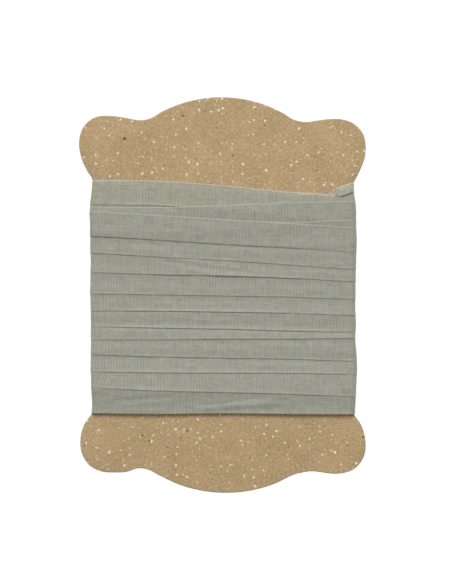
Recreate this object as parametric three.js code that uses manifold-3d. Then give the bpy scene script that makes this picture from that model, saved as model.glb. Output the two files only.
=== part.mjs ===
import * as THREE from 'three';
import { mergeVertices } from 'three/addons/utils/BufferGeometryUtils.js';
import Module from 'manifold-3d';

// Silk ribbon wound round the waist of a flat scalloped card, lying on its back.
// Millimetres: X to the right, Y along the card towards its top end, Z up from the surface it lies on.

const wasm = await Module();
wasm.setup();

const CARD_THICKNESS = 1.2;
const CARD_EDGE_BEVEL = 0.12;
const GAP = 0.3;
const WRAP_THICKNESS = 0.27;
const LAP_STEP = 0.18;
const RIBBON_WIDTH = 4;

const PACK_HALF = CARD_THICKNESS / 2 + GAP + WRAP_THICKNESS + LAP_STEP;
const MID_HEIGHT = PACK_HALF;
const PACK_EDGE_RADIUS = 0.85;
const HOLE_EDGE_RADIUS = 0.3;
const LAP_SHARES = [0, 0.45, 1];

const WAIST = { left: -20.1, right: 20.3 };

// Domes: one arc at each end of the card, between the two notches.
const TOP_DOME = { x: -0.2, y: 11.08, radius: 20.6, from: 117, to: 62 };
const BOTTOM_DOME = { x: 0.55, y: -9.87, radius: 21.78, from: -60, to: -120 };

// Lobes: the points that a smooth edge passes through, from the waist round to the notch beside the dome.
const TOP_LEFT_LOBE = [
  { x: -20.95, y: 18.86 },
  { x: -21.62, y: 19.85 },
  { x: -22.35, y: 21.35 },
  { x: -22.82, y: 22.95 },
  { x: -22.94, y: 24.5 },
  { x: -22.6, y: 26.25 },
  { x: -21.7, y: 27.6 },
  { x: -20.2, y: 28.53 },
  { x: -18.1, y: 28.71 },
  { x: -15.4, y: 28.37 },
  { x: -13.45, y: 28.0 },
  { x: -11.6, y: 28.26 },
];
const TOP_RIGHT_LOBE = [
  { x: 21.4, y: 18.7 },
  { x: 21.9, y: 19.7 },
  { x: 22.45, y: 20.98 },
  { x: 22.85, y: 22.26 },
  { x: 22.94, y: 23.7 },
  { x: 22.7, y: 25.4 },
  { x: 22.05, y: 26.5 },
  { x: 20.95, y: 27.5 },
  { x: 19.2, y: 28.13 },
  { x: 17.25, y: 28.19 },
  { x: 15.35, y: 27.97 },
  { x: 13.4, y: 27.71 },
  { x: 11.5, y: 28.05 },
];
const BOTTOM_LEFT_LOBE = [
  { x: -21.1, y: -19.25 },
  { x: -22.08, y: -20.62 },
  { x: -22.67, y: -22.54 },
  { x: -22.7, y: -24.46 },
  { x: -22.35, y: -25.74 },
  { x: -21.15, y: -27.36 },
  { x: -19.23, y: -28.26 },
  { x: -17.31, y: -28.39 },
  { x: -15.39, y: -28.3 },
  { x: -13.4, y: -27.7 },
  { x: -11.55, y: -28.06 },
];
const BOTTOM_RIGHT_LOBE = [
  { x: 21.2, y: -19.3 },
  { x: 22.14, y: -20.62 },
  { x: 22.8, y: -22.54 },
  { x: 22.94, y: -24.46 },
  { x: 22.69, y: -25.74 },
  { x: 22.05, y: -26.9 },
  { x: 21.09, y: -27.84 },
  { x: 19.17, y: -28.52 },
  { x: 17.25, y: -28.56 },
  { x: 15.33, y: -28.28 },
  { x: 14.0, y: -28.2 },
  { x: 12.45, y: -28.47 },
];

// Selvedges that show on the front, from the bottom one up: their heights at five places across the card,
// and how far the ribbon stands up just below and just above each one, in shares of LAP_STEP.
const SELVEDGES = [
  { left: -18.86, midLeft: -19.0, middle: -18.88, midRight: -19.0, right: -19.02, below: 0, above: 1 },
  { left: -14.83, midLeft: -15.31, middle: -15.55, midRight: -15.82, right: -16.22, below: 0, above: 1 },
  { left: -12.3, midLeft: -12.43, middle: -12.46, midRight: -12.48, right: -12.64, below: 0, above: 1 },
  { left: -9.55, midLeft: -9.87, middle: -10.08, midRight: -10.23, right: -10.58, below: 0, above: 1 },
  { left: -7.17, midLeft: -7.16, middle: -7.03, midRight: -7.02, right: -6.9, below: 0, above: 1 },
  { left: -5.08, midLeft: -5.26, middle: -5.44, midRight: -5.73, right: -5.92, below: 0, above: 1 },
  { left: -2.55, midLeft: -2.55, middle: -2.7, midRight: -2.9, right: -3.25, below: 0, above: 1 },
  { left: 0.19, midLeft: 0.04, middle: -0.14, midRight: -0.33, right: -0.66, below: 0, above: 1 },
  { left: 3.56, midLeft: 3.28, middle: 3.06, midRight: 2.72, right: 2.15, below: 0, above: 1 },
  { left: 6.68, midLeft: 6.1, middle: 5.55, midRight: 4.82, right: 4.12, below: 0, above: 1 },
  { left: 9.52, midLeft: 8.8, middle: 8.1, midRight: 7.5, right: 6.8, below: 0, above: 1 },
  { left: 13.35, midLeft: 12.65, middle: 11.97, midRight: 11.43, right: 10.84, below: 1, above: 0.35 },
  { left: 14.2, midLeft: 14.06, middle: 14.38, midRight: 14.82, right: 15.06, below: 0.75, above: 0.15 },
  { left: 18.45, midLeft: 18.28, middle: 17.55, midRight: 16.62, right: 15.42, below: 0.6, above: 0.6 },
];

// Half-widths of the wound pack along the card, wider where more turns lie on each other.
const PACK_SIDES = [
  { y: -19, left: 20.83, right: 21.15 },
  { y: -11.5, left: 21.1, right: 21.5 },
  { y: -7, left: 21.12, right: 21.22 },
  { y: 0, left: 21.12, right: 21.22 },
  { y: 8, left: 21.15, right: 21.44 },
  { y: 13, left: 21.28, right: 21.38 },
  { y: 18, left: 20.9, right: 20.9 },
];

// The tucked turn at the upper right: its outline seen from the front, and how low it lies below the laps.
const TUCK_TOP = 18.1;
const TUCK_OUTLINE = [
  { x: 16.6, y: 14.6 },
  { x: 22.5, y: 14.6 },
  { x: 22.5, y: TUCK_TOP },
  { x: 20.8, y: 18.08 },
  { x: 19.6, y: 17.72 },
  { x: 18.3, y: 17.26 },
  { x: 17.3, y: 16.6 },
];
const TUCK_DROP = 0.1;
const TUCK_HALF_WIDTH = 20.85;

const CORNER_STEPS = 4;
const FRONT_COLUMNS = 16;
const BACK_COLUMNS = 12;
const OUTLINE_STEPS = 96;
const DOME_STEPS = 6;
const TRIM = 0.06;
const CLEAR = 1;

const RIBBON_COLOUR = 0x999a8c;
const CARD_COLOUR = 0xb49c76;

const { lerp, degToRad, mapLinear, clamp } = THREE.MathUtils;

// Card

function domePoints(dome) {
  const points = [];
  for (let i = 0; i <= DOME_STEPS; i++) {
    const angle = degToRad(lerp(dome.from, dome.to, i / DOME_STEPS));
    points.push({ x: dome.x + dome.radius * Math.cos(angle), y: dome.y + dome.radius * Math.sin(angle) });
  }
  return points;
}

function smoothEdge(points) {
  const knots = points.map((point) => new THREE.Vector3(point.x, point.y, 0));
  const curve = new THREE.CatmullRomCurve3(knots, false, 'centripetal');
  return curve.getSpacedPoints(OUTLINE_STEPS).map((point) => new THREE.Vector2(point.x, point.y));
}

function cardOutline() {
  const topLeft = TOP_LEFT_LOBE[0];
  const topRight = TOP_RIGHT_LOBE[0];
  const bottomLeft = BOTTOM_LEFT_LOBE[0];
  const bottomRight = BOTTOM_RIGHT_LOBE[0];
  const topEdge = [...TOP_LEFT_LOBE, ...domePoints(TOP_DOME), ...TOP_RIGHT_LOBE.toReversed()];
  const bottomEdge = [...BOTTOM_RIGHT_LOBE, ...domePoints(BOTTOM_DOME), ...BOTTOM_LEFT_LOBE.toReversed()];
  return [
    new THREE.Vector2(WAIST.left, topLeft.y - CARD_EDGE_BEVEL),
    ...smoothEdge(topEdge),
    new THREE.Vector2(WAIST.right, topRight.y - CARD_EDGE_BEVEL),
    new THREE.Vector2(WAIST.right, bottomRight.y + CARD_EDGE_BEVEL),
    ...smoothEdge(bottomEdge),
    new THREE.Vector2(WAIST.left, bottomLeft.y + CARD_EDGE_BEVEL),
  ];
}

function makeCard() {
  const geometry = new THREE.ExtrudeGeometry(new THREE.Shape(cardOutline()), {
    depth: CARD_THICKNESS - 2 * CARD_EDGE_BEVEL,
    bevelThickness: CARD_EDGE_BEVEL,
    bevelSize: CARD_EDGE_BEVEL,
    bevelOffset: -CARD_EDGE_BEVEL,
    bevelSegments: 1,
  });
  geometry.translate(0, 0, MID_HEIGHT - CARD_THICKNESS / 2 + CARD_EDGE_BEVEL);
  return geometry;
}

// Solids

function toSolid(geometry) {
  const bare = geometry.clone();
  bare.deleteAttribute('normal');
  bare.deleteAttribute('uv');
  const merged = mergeVertices(bare);
  const vertProperties = new Float32Array(merged.attributes.position.array);
  const triVerts = new Uint32Array(merged.index.array);
  return new wasm.Manifold(new wasm.Mesh({ numProp: 3, vertProperties, triVerts }));
}

function toGeometry(solid) {
  const mesh = solid.getMesh();
  const geometry = new THREE.BufferGeometry();
  geometry.setAttribute('position', new THREE.Float32BufferAttribute(mesh.vertProperties, 3));
  geometry.setIndex(new THREE.Uint32BufferAttribute(mesh.triVerts, 1));
  geometry.computeVertexNormals();
  return geometry;
}

// A prism with an outline in X and Y that stands from one height to another.
function prism(points, low, high) {
  const shape = new THREE.Shape(points.map((point) => new THREE.Vector2(point.x, point.y)));
  const geometry = new THREE.ExtrudeGeometry(shape, { depth: high - low, bevelEnabled: false });
  geometry.translate(0, 0, low);
  return toSolid(geometry);
}

// A bar along Y with a section rounded at its four edges, centred on the card's thickness.
function roundedBar(left, right, halfThickness, radius) {
  const shape = new THREE.Shape();
  shape.moveTo(left + radius, -halfThickness);
  shape.lineTo(right - radius, -halfThickness);
  shape.absarc(right - radius, radius - halfThickness, radius, -Math.PI / 2, 0);
  shape.lineTo(right, halfThickness - radius);
  shape.absarc(right - radius, halfThickness - radius, radius, 0, Math.PI / 2);
  shape.lineTo(left + radius, halfThickness);
  shape.absarc(left + radius, halfThickness - radius, radius, Math.PI / 2, Math.PI);
  shape.lineTo(left, radius - halfThickness);
  shape.absarc(left + radius, radius - halfThickness, radius, Math.PI, 1.5 * Math.PI);
  const length = 2 * TOP_DOME.radius;
  const geometry = new THREE.ExtrudeGeometry(shape, {
    depth: length,
    bevelEnabled: false,
    curveSegments: CORNER_STEPS,
  });
  geometry.rotateX(Math.PI / 2);
  geometry.translate(0, length / 2, MID_HEIGHT);
  return toSolid(geometry);
}

// Ribbon

// The selvedge is one long helix: turn 3.25 is a quarter of the way round from selvedge 3 towards selvedge 4.
// The front is crossed in the first half of a turn, from left to right, and the back in the second half.
const UNSEEN_BELOW = shifted(SELVEDGES[0], -RIBBON_WIDTH);
const UNSEEN_ABOVE = shifted(SELVEDGES.at(-1), RIBBON_WIDTH);
const HELIX = [UNSEEN_BELOW, ...SELVEDGES, UNSEEN_ABOVE, shifted(UNSEEN_ABOVE, RIBBON_WIDTH)];

function shifted(selvedge, distance) {
  const moved = { ...selvedge };
  for (const place of ['left', 'midLeft', 'middle', 'midRight', 'right']) {
    moved[place] += distance;
  }
  return moved;
}

function frontHeight(selvedge, across) {
  const knots = [selvedge.left, selvedge.midLeft, selvedge.middle, selvedge.midRight, selvedge.right];
  const curve = new THREE.SplineCurve(knots.map((y, i) => new THREE.Vector2(i, y)));
  return curve.getPoint(across).y;
}

function onHelix(turn, around) {
  const here = HELIX[turn];
  if (around <= 0.5) {
    return { y: frontHeight(here, 2 * around), below: here.below, above: here.above };
  }
  const next = HELIX[turn + 1];
  const back = 2 * around - 1;
  return {
    y: lerp(here.right, next.left, back),
    below: lerp(here.below, next.below, back),
    above: lerp(here.above, next.above, back),
  };
}

function packSides(y) {
  const last = PACK_SIDES.length - 1;
  const found = PACK_SIDES.findIndex((row) => row.y > y);
  const upper = found < 0 ? last : Math.max(found, 1);
  const a = PACK_SIDES[upper - 1];
  const b = PACK_SIDES[upper];
  const share = clamp(mapLinear(y, a.y, b.y, 0, 1), 0, 1);
  return { left: lerp(a.left, b.left, share), right: lerp(a.right, b.right, share) };
}

// Columns round the pack, from its left side over the front to the right side and back under it.
// Each has a place across the pack, 0 to 1, the side of the middle height it is on, and the way it faces.
function packColumns() {
  const columns = [];
  const corner = (across, level, from, to) => {
    for (let i = 0; i <= CORNER_STEPS; i++) {
      columns.push({ across, level, angle: degToRad(lerp(from, to, i / CORNER_STEPS)) });
    }
  };
  corner(0, 1, 180, 90);
  for (let i = 1; i < FRONT_COLUMNS; i++) {
    columns.push({ across: i / FRONT_COLUMNS, level: 1, angle: Math.PI / 2 });
  }
  corner(1, 1, 90, 0);
  corner(1, -1, 0, -90);
  for (let i = BACK_COLUMNS - 1; i > 0; i--) {
    columns.push({ across: i / BACK_COLUMNS, level: -1, angle: -Math.PI / 2 });
  }
  corner(0, -1, -90, -180);
  return columns;
}

// A point of the pack's skin: rise is 0 on the wrap below a lap and 1 on top of it.
function skinPoint(column, y, rise) {
  const sides = packSides(y);
  const coreX = lerp(PACK_EDGE_RADIUS - sides.left, sides.right - PACK_EDGE_RADIUS, column.across);
  const coreZ = column.level * (PACK_HALF - PACK_EDGE_RADIUS);
  const reach = PACK_EDGE_RADIUS - LAP_STEP * (1 - rise);
  const x = coreX + reach * Math.cos(column.angle);
  const z = MID_HEIGHT + coreZ + reach * Math.sin(column.angle);
  return [x, y, z];
}

function aroundOf(column) {
  const sides = packSides(0);
  const [x] = skinPoint(column, 0, 1);
  const share = clamp(mapLinear(x, -sides.left, sides.right, 0, 1), 0, 1);
  return column.level > 0 ? share / 2 : 1 - share / 2;
}

// The laps as one long helical body. Each turn has a row of points on top of its own selvedge, one where its
// flat part ends and one at the foot of the selvedge above it.
function lapBody() {
  const columns = packColumns();
  const count = columns.length;
  const positions = [];
  for (let turn = 0; turn < HELIX.length - 2; turn++) {
    for (const share of LAP_SHARES) {
      for (const column of columns) {
        const around = aroundOf(column);
        const lower = onHelix(turn, around);
        const upper = onHelix(turn + 1, around);
        const rise = share < 1 ? lower.above : upper.below;
        positions.push(...skinPoint(column, lerp(lower.y, upper.y, share), rise));
      }
    }
  }
  const rowsPerTurn = LAP_SHARES.length;
  const rows = (HELIX.length - 2) * rowsPerTurn;
  const at = (row, column) => (column < count ? row * count + column : (row + rowsPerTurn) * count);
  const faces = [];
  for (let column = 0; column < count; column++) {
    const top = column < count - 1 ? rows - 1 : rows - 1 - rowsPerTurn;
    for (let row = 0; row < top; row++) {
      faces.push(at(row, column), at(row, column + 1), at(row + 1, column + 1));
      faces.push(at(row, column), at(row + 1, column + 1), at(row + 1, column));
    }
  }
  const bottomRim = columns.map((_, column) => at(0, column));
  const topRim = columns.map((_, column) => at(rows - 1, column));
  for (let row = rowsPerTurn; row > 0; row--) {
    bottomRim.push(at(row, 0));
  }
  for (let row = rows - 2; row >= rows - 1 - rowsPerTurn; row--) {
    topRim.push(at(row, count - 1));
  }
  closeRim(positions, faces, bottomRim.toReversed());
  closeRim(positions, faces, topRim);
  const geometry = new THREE.BufferGeometry();
  geometry.setAttribute('position', new THREE.Float32BufferAttribute(positions, 3));
  geometry.setIndex(faces);
  return toSolid(geometry);
}

function closeRim(positions, faces, rim) {
  const heights = rim.map((index) => positions[3 * index + 1]);
  const centre = positions.length / 3;
  positions.push(0, heights.reduce((sum, y) => sum + y, 0) / rim.length, MID_HEIGHT);
  rim.forEach((index, i) => faces.push(index, rim[(i + 1) % rim.length], centre));
}

// The stretch of the card that the laps cover, the front and the back half each with its own outline.
function lapWindow() {
  const bottom = SELVEDGES[0];
  const top = SELVEDGES.at(-1);
  const edge = packSides(0).left + CLEAR;
  const front = [];
  for (let i = 0; i <= FRONT_COLUMNS; i++) {
    const across = i / FRONT_COLUMNS;
    front.push({ x: lerp(-edge, edge, across), y: frontHeight(bottom, across) + TRIM });
  }
  for (let i = FRONT_COLUMNS; i >= 0; i--) {
    const across = i / FRONT_COLUMNS;
    front.push({ x: lerp(-edge, edge, across), y: frontHeight(top, across) - TRIM });
  }
  const back = [
    { x: -edge, y: bottom.left + TRIM },
    { x: edge, y: bottom.right + TRIM },
    { x: edge, y: TUCK_TOP },
    { x: -edge, y: top.left - TRIM },
  ];
  const frontHalf = prism(front, MID_HEIGHT, MID_HEIGHT + PACK_HALF + CLEAR);
  const backHalf = prism(back, MID_HEIGHT - PACK_HALF - CLEAR, MID_HEIGHT + GAP);
  return frontHalf.add(backHalf);
}

function makeRibbon() {
  const laps = lapBody().intersect(lapWindow());
  const tuckBar = roundedBar(
    -TUCK_HALF_WIDTH,
    TUCK_HALF_WIDTH,
    PACK_HALF - TUCK_DROP,
    PACK_EDGE_RADIUS - TUCK_DROP,
  );
  const tuck = tuckBar.intersect(prism(TUCK_OUTLINE, MID_HEIGHT - GAP, MID_HEIGHT + PACK_HALF + CLEAR));
  const hole = roundedBar(
    WAIST.left - GAP,
    WAIST.right + GAP,
    CARD_THICKNESS / 2 + GAP,
    HOLE_EDGE_RADIUS,
  );
  return toGeometry(laps.add(tuck).subtract(hole));
}

// Assembly

function named(name, geometry, colour, roughness) {
  const material = new THREE.MeshStandardMaterial({ color: colour, roughness, metalness: 0 });
  const mesh = new THREE.Mesh(geometry, material);
  mesh.name = name;
  return mesh;
}

const group = new THREE.Group();
group.add(named('card', makeCard(), CARD_COLOUR, 0.9));
group.add(named('ribbon', makeRibbon(), RIBBON_COLOUR, 0.5));

export default group;
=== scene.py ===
import math

import bmesh
import bpy
import numpy as np
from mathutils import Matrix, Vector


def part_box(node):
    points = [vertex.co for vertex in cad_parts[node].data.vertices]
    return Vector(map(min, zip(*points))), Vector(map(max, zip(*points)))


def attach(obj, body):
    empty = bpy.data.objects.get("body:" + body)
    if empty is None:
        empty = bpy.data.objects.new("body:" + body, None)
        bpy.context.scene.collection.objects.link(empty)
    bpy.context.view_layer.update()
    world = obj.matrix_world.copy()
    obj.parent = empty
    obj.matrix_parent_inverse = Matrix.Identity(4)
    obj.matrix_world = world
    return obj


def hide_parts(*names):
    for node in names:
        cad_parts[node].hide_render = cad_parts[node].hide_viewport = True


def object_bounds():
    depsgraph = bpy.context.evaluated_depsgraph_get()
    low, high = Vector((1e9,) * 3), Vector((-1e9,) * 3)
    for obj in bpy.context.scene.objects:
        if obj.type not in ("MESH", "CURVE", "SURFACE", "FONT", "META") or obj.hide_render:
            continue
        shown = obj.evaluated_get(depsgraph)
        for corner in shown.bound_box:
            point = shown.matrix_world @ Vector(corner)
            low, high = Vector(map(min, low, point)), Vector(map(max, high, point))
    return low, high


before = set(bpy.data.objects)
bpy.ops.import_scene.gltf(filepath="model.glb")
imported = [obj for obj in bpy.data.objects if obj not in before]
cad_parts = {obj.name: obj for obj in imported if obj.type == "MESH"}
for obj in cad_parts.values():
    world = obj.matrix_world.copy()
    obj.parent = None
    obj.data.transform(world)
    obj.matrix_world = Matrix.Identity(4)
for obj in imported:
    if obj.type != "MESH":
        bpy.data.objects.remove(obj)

# Silk ribbon wound round the waist of a flat scalloped kraft card that lies on its back.
# Sizes and places are in millimetres, and go into the meshes in metres. Angles are in degrees.
MM = 0.001


def named_rows(columns, rows):
    return [dict(zip(columns, row)) for row in rows]


cad_low, cad_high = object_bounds()
card_low, card_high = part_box("card")

CARD_BACK = card_low.z / MM
CARD_FRONT = card_high.z / MM
CARD_MIDDLE = (CARD_BACK + CARD_FRONT) / 2
CARD_HALF = (CARD_FRONT - CARD_BACK) / 2

# Camera: straight above, so that one pixel of the picture is PIXEL_SIZE on the card's face.
PIXEL_SIZE = 0.16
PICTURE_HEIGHT = 584
VIEW_CENTRE = {"x": 0.58, "y": 0.5}
LENS = 150
SENSOR = 36

# Ribbon
RIBBON_WIDTH = 4.0
RIBBON_THICKNESS = 0.1
AIR_BETWEEN_TURNS = 0.012
STEEPEST_DRAPE = 0.17
WAIST_LEFT = -20.62
WAIST_RIGHT = 20.85
WAIST_CORNER = 0.3
PACK_HEIGHT = CARD_BACK - cad_low.z / MM
TYPICAL_RISE = PACK_HEIGHT / 2

# Steps round the waist, the fine grid along the card on which the pile of turns grows, and the places
# across the cloth, in shares of its half-width, at which its height over the card is worked out.
FRONT_STEPS = 220
BACK_STEPS = 56
CORNER_STEPS = 6
SIDE_STEPS = 3
GROUND_END = 21.0
GROUND_STEP = 0.05
GROUND_AT = np.arange(-GROUND_END, GROUND_END, GROUND_STEP)
CLOTH_SHARES = np.linspace(-1, 1, int(RIBBON_WIDTH / GROUND_STEP) + 1)

# How strongly a turn's upper selvedge takes the painted highlight, how light its cloth is and how much it
# adds to the pile, where a turn says nothing else.
PLAIN_TURN = {"pale": 0.3, "tone": 1.0, "bulk": 1.0}

# The turns that show on the front, in the order in which they are wound, with the heights along the card of
# their lower selvedges at five places across it.
PLACES = (-21.1, -10.55, 0.05, 10.6, 21.2)
# The bottom turn's darker tone is painted shade and the top turn's lighter tone is painted light, as the
# light falls from the card's top end; the fifth turn's lighter tone is its own.
OUTER_TURNS = [
    {"name": "bottom", "tone": 0.93, "low": (-18.86, -19.0, -18.88, -19.0, -19.02)},
    {"name": "second", "low": (-14.83, -15.31, -15.55, -15.82, -16.22)},
    {"name": "third", "low": (-12.3, -12.43, -12.46, -12.48, -12.64)},
    {"name": "fourth", "low": (-9.55, -9.87, -10.08, -10.23, -10.58)},
    {"name": "fifth", "tone": 1.07, "low": (-7.17, -7.16, -7.03, -7.02, -6.9)},
    {"name": "sixth", "low": (-5.08, -5.26, -5.44, -5.73, -5.92)},
    {"name": "seventh", "low": (-2.55, -2.55, -2.7, -2.9, -3.25)},
    {"name": "eighth", "low": (0.19, 0.04, -0.14, -0.33, -0.66)},
    {"name": "ninth", "low": (3.56, 3.28, 3.06, 2.72, 2.15)},
    {"name": "tenth", "low": (6.68, 6.1, 5.55, 4.82, 4.12)},
    {"name": "steep", "low": (9.6, 9.3, 9.7, 10.7, 13.85)},
    {"name": "top", "pale": 1.0, "tone": 1.07, "low": (14.45, 14.28, 13.55, 12.52, 13.2)},
    {"name": "wide", "pale": 0.7, "low": (10.2, 10.06, 10.38, 10.82, 11.06)},
    {"name": "crossing", "pale": 0.7, "low": (9.42, 8.8, 8.12, 7.68, 8.1)},
    {"name": "last", "pale": 0.75, "low": (9.4, 8.8, 8.1, 7.5, 6.8)},
]
# Extra places on the front where a turn leaves the smooth line between those five.
EXTRA_PLACES = {
    "steep": [(14.0, 11.85), (17.6, 13.05), (19.6, 13.6), (20.6, 13.78)],
    "top": [(15.5, 12.2), (17.6, 11.96), (18.4, 11.8), (18.8, 11.9), (19.4, 12.4), (20.7, 12.95)],
}

# Hidden turns: two loose ones at the lower end, a pass up the whole card and one back down from its upper
# part.
HIDDEN_PASSES = [
    {"turns": 2, "start": -18.66, "end": -18.58, "tilt": -0.2, "end_tilt": -0.3, "bulk": 2.2},
    {"turns": 12, "start": -18.5, "end": 14.0, "tilt": -0.35, "end_tilt": -2.6, "bulk": 0.3},
    {"turns": 9, "start": 6.4, "end": -18.62, "tilt": -0.3, "end_tilt": -0.2, "bulk": 0.3},
]

# The loose end lies across the back, cut off straight at this place.
LOOSE_END = -8.0


# Nodes of the materials

def new_material(name):
    material = bpy.data.materials.new(name)
    material.use_nodes = True
    material.node_tree.nodes.clear()
    return material


def new_group(name, inputs, outputs):
    tree = bpy.data.node_groups.new(name, "ShaderNodeTree")
    for title, kind in inputs:
        tree.interface.new_socket(title, in_out="INPUT", socket_type=kind)
    for title, kind in outputs:
        tree.interface.new_socket(title, in_out="OUTPUT", socket_type=kind)
    return tree, tree.nodes.new("NodeGroupInput").outputs


def add_node(tree, kind, inputs=None, **settings):
    node = tree.nodes.new(kind)
    for name, value in settings.items():
        setattr(node, name, value)
    for key, value in (inputs or {}).items():
        if isinstance(value, bpy.types.NodeSocket):
            tree.links.new(value, node.inputs[key])
        else:
            node.inputs[key].default_value = value
    return node


def calc(tree, operation, first, second=0.0):
    return add_node(tree, "ShaderNodeMath", {0: first, 1: second}, operation=operation).outputs[0]


def scaled(tree, value, factor):
    return calc(tree, "MULTIPLY", value, factor)


def weighted_sum(tree, start, layers, weights):
    total = start
    for title, weight in weights.items():
        total = calc(tree, "ADD", total, scaled(tree, layers[title], weight))
    return total


def vector(tree, operation, first, second):
    return add_node(tree, "ShaderNodeVectorMath", {0: first, 1: second}, operation=operation).outputs[0]


def combine(tree, x, y, z=0.0):
    return add_node(tree, "ShaderNodeCombineXYZ", {0: x, 1: y, 2: z}).outputs[0]


def noise(tree, place, scale, detail=2.0, roughness=0.5, output="Fac"):
    inputs = {"Vector": place, "Scale": scale, "Detail": detail, "Roughness": roughness}
    return add_node(tree, "ShaderNodeTexNoise", inputs).outputs[output]


# Parts of the range from 0 to 1 over which noise is spread out: the less of it, the starker the result.
WIDE = (0.2, 0.8)
MEDIUM = (0.3, 0.7)
NARROW = (0.35, 0.65)


def ramp(tree, value, low, high, to_low=0.0, to_high=1.0):
    inputs = {"Value": value, "From Min": low, "From Max": high, "To Min": to_low, "To Max": to_high}
    return add_node(tree, "ShaderNodeMapRange", inputs, clamp=True).outputs["Result"]


def wave(tree, value, pitch):
    return calc(tree, "SINE", scaled(tree, value, 2 * math.pi / pitch))


def read_attribute(tree, name):
    return add_node(tree, "ShaderNodeAttribute", attribute_name=name).outputs["Fac"]


def mix_colour(tree, share, first, second, blend="MIX"):
    node = add_node(tree, "ShaderNodeMix", data_type="RGBA", blend_type=blend)
    for index, value in ((0, share), (6, first), (7, second)):
        if isinstance(value, bpy.types.NodeSocket):
            tree.links.new(value, node.inputs[index])
        else:
            node.inputs[index].default_value = value
    return node.outputs[2]


def toned(tree, colour, tone):
    """A colour made lighter or darker by a tone, which is 1 where the colour stays."""
    return mix_colour(tree, 1.0, colour, combine(tree, tone, tone, tone), "MULTIPLY")


def straying(tree, place, scale, reach):
    """A vector of chance, up to half of this reach either way in each direction."""
    stray = noise(tree, place, scale, output="Color")
    stray = vector(tree, "SUBTRACT", stray, (0.5, 0.5, 0.5))
    return vector(tree, "MULTIPLY", stray, reach)


def finish_material(tree, surface, constants):
    """A Principled shader with changing inputs linked and constant ones set on its own sockets."""
    shader = add_node(tree, "ShaderNodeBsdfPrincipled", surface)
    for name, value in constants.items():
        shader.inputs[name].default_value = value
    add_node(tree, "ShaderNodeOutputMaterial", {"Surface": shader.outputs[0]})


# Camera, lights and floor. The sizes and distances of these four are in metres, the light's power in watts.

KEY_LIGHT = {"x": -0.22, "elevation": 50, "distance": 2.2, "size": 1.2, "power": 36.8}
FILL_STRENGTH = 0.42
FLOOR = {"size": 4.0, "gap": 0.00002, "grey": 0.08, "glow": 0.97}
CAMERA_NEAR = 0.01


def make_camera():
    data = bpy.data.cameras.new("camera")
    data.lens = LENS
    data.sensor_width = SENSOR
    data.clip_start = CAMERA_NEAR
    camera = bpy.data.objects.new("camera", data)
    bpy.context.scene.collection.objects.link(camera)
    distance = PICTURE_HEIGHT * PIXEL_SIZE * LENS / SENSOR
    camera.location = (VIEW_CENTRE["x"] * MM, VIEW_CENTRE["y"] * MM, (CARD_FRONT + distance) * MM)
    bpy.context.scene.camera = camera


def make_key_light():
    """A round soft light above the card's top end, turned towards the card."""
    data = bpy.data.lights.new("key_light", "AREA")
    data.shape = "DISK"
    data.size = KEY_LIGHT["size"]
    data.energy = KEY_LIGHT["power"]
    light = bpy.data.objects.new("key_light", data)
    bpy.context.scene.collection.objects.link(light)
    elevation = math.radians(KEY_LIGHT["elevation"])
    reach = KEY_LIGHT["distance"]
    light.location = (KEY_LIGHT["x"], reach * math.cos(elevation), reach * math.sin(elevation))
    light.rotation_euler = (elevation - math.pi / 2, 0, 0)


def make_fill_light():
    """Even white light from all sides."""
    world = bpy.data.worlds.new("studio")
    bpy.context.scene.world = world
    world.use_nodes = True
    background = world.node_tree.nodes["Background"]
    background.inputs["Color"].default_value = (1, 1, 1, 1)
    background.inputs["Strength"].default_value = FILL_STRENGTH


def make_floor():
    """A floor that glows, so that it is an even white and takes next to no shadow."""
    bpy.ops.object.select_all(action="DESELECT")
    bpy.ops.mesh.primitive_plane_add(size=FLOOR["size"], location=(0, 0, cad_low.z - FLOOR["gap"]))
    floor = bpy.context.object
    floor.name = "floor"
    material = new_material("white_floor")
    grey = (FLOOR["grey"], FLOOR["grey"], FLOOR["grey"], 1)
    constants = {
        "Base Color": grey, "Roughness": 0.9, "Specular IOR Level": 0.0,
        "Emission Color": (1, 1, 1, 1), "Emission Strength": FLOOR["glow"],
    }
    finish_material(material.node_tree, {}, constants)
    floor.data.materials.append(material)


# Ribbon path. A column is one place round the waist: its point on the card and the way out from the card.
# Columns go from the left edge over the front to the right edge and back below.

def waist_columns():
    left = WAIST_LEFT + WAIST_CORNER
    right = WAIST_RIGHT - WAIST_CORNER
    front = CARD_FRONT - WAIST_CORNER
    back = CARD_BACK + WAIST_CORNER
    points = []

    def side(x, start, end, way):
        for i in range(SIDE_STEPS):
            points.append((x, start + (end - start) * i / SIDE_STEPS, way, 0.0))

    def corner(x, z, start):
        for i in range(CORNER_STEPS):
            angle = math.radians(start - 90 * i / CORNER_STEPS)
            out_x = math.cos(angle)
            out_z = math.sin(angle)
            points.append((x + WAIST_CORNER * out_x, z + WAIST_CORNER * out_z, out_x, out_z))

    def face(start, end, z, steps, way):
        for i in range(steps):
            points.append((start + (end - start) * i / steps, z, 0.0, way))

    side(WAIST_LEFT, CARD_MIDDLE, front, -1.0)
    corner(left, front, 180)
    face(left, right, CARD_FRONT, FRONT_STEPS, 1.0)
    corner(right, front, 90)
    side(WAIST_RIGHT, front, back, 1.0)
    corner(right, back, 0)
    face(right, left, CARD_BACK, BACK_STEPS, -1.0)
    corner(left, back, -90)
    side(WAIST_LEFT, back, CARD_MIDDLE, -1.0)
    return np.array(points)


COLUMNS = waist_columns()
COLUMN_COUNT = len(COLUMNS)
COLUMN_PLACES = COLUMNS[:, 0:2]
COLUMN_X = COLUMNS[:, 0]
WAYS_OUT = COLUMNS[:, 2:4]
FRONT_START = SIDE_STEPS + CORNER_STEPS
FRONT_END = FRONT_START + FRONT_STEPS
FRONT_COLUMNS = slice(FRONT_START, FRONT_END)
BACK_START = FRONT_END + CORNER_STEPS + SIDE_STEPS + CORNER_STEPS


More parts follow.
